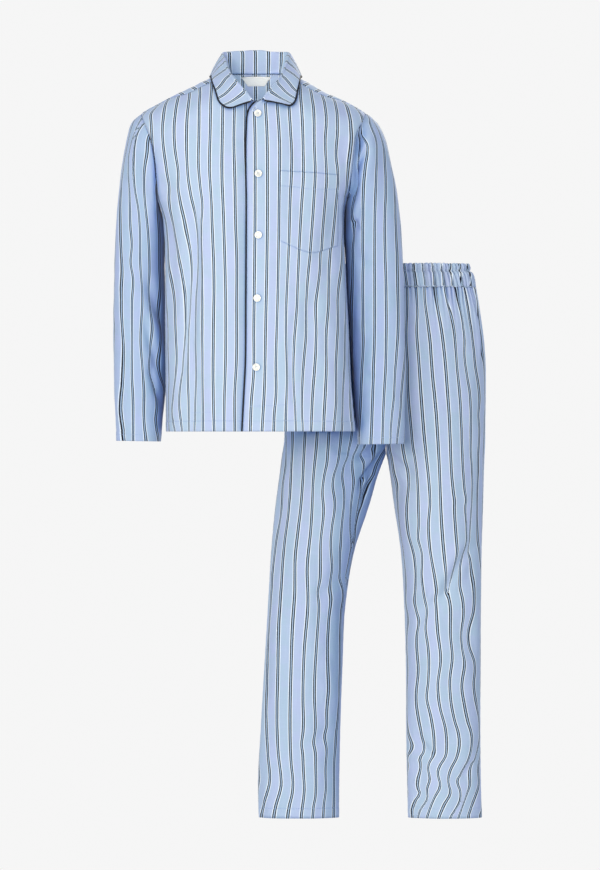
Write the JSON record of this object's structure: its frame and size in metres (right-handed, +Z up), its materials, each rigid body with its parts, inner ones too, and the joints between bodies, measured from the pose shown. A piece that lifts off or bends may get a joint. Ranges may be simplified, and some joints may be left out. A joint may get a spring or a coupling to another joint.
{
  "type": "two-piece pyjama set",
  "caption": "Long-sleeved button-front pyjama shirt with a piped rounded collar and chest pocket, and straight trousers with a gathered elastic waist.",
  "frame": {"origin": "middle of the neck opening, between the shoulders, where the shirt hangs on its wearer", "axes": "+X to the wearer's left, -Y to the wearer's front, +Z up"},
  "size_m": [0.7518, 0.5055, 1.5471],
  "materials": {
    "striped_cotton": "light blue woven cotton with narrow vertical stripes",
    "piping": "dark navy cotton piping",
    "button_pearl": "pearly white, glossy",
    "neck_label": "plain off-white woven tape"
  },
  "bodies": {
    "root": {"shirt_front_left": "striped_cotton", "shirt_front_right": "striped_cotton", "shirt_back": "striped_cotton", "shirt_yoke": "striped_cotton", "shirt_sleeve_left": "striped_cotton", "shirt_sleeve_right": "striped_cotton", "shirt_collar": "striped_cotton", "shirt_pocket": "striped_cotton", "shirt_collar_piping": "piping", "shirt_front_piping": "piping", "shirt_neck_label": "neck_label", "shirt_button_1": "button_pearl", "shirt_button_2": "button_pearl", "shirt_button_3": "button_pearl", "shirt_button_4": "button_pearl", "shirt_button_5": "button_pearl", "trousers_front_left": "striped_cotton", "trousers_front_right": "striped_cotton", "trousers_back_left": "striped_cotton", "trousers_back_right": "striped_cotton", "trousers_waistband": "striped_cotton"}
  },
  "joints": []
}
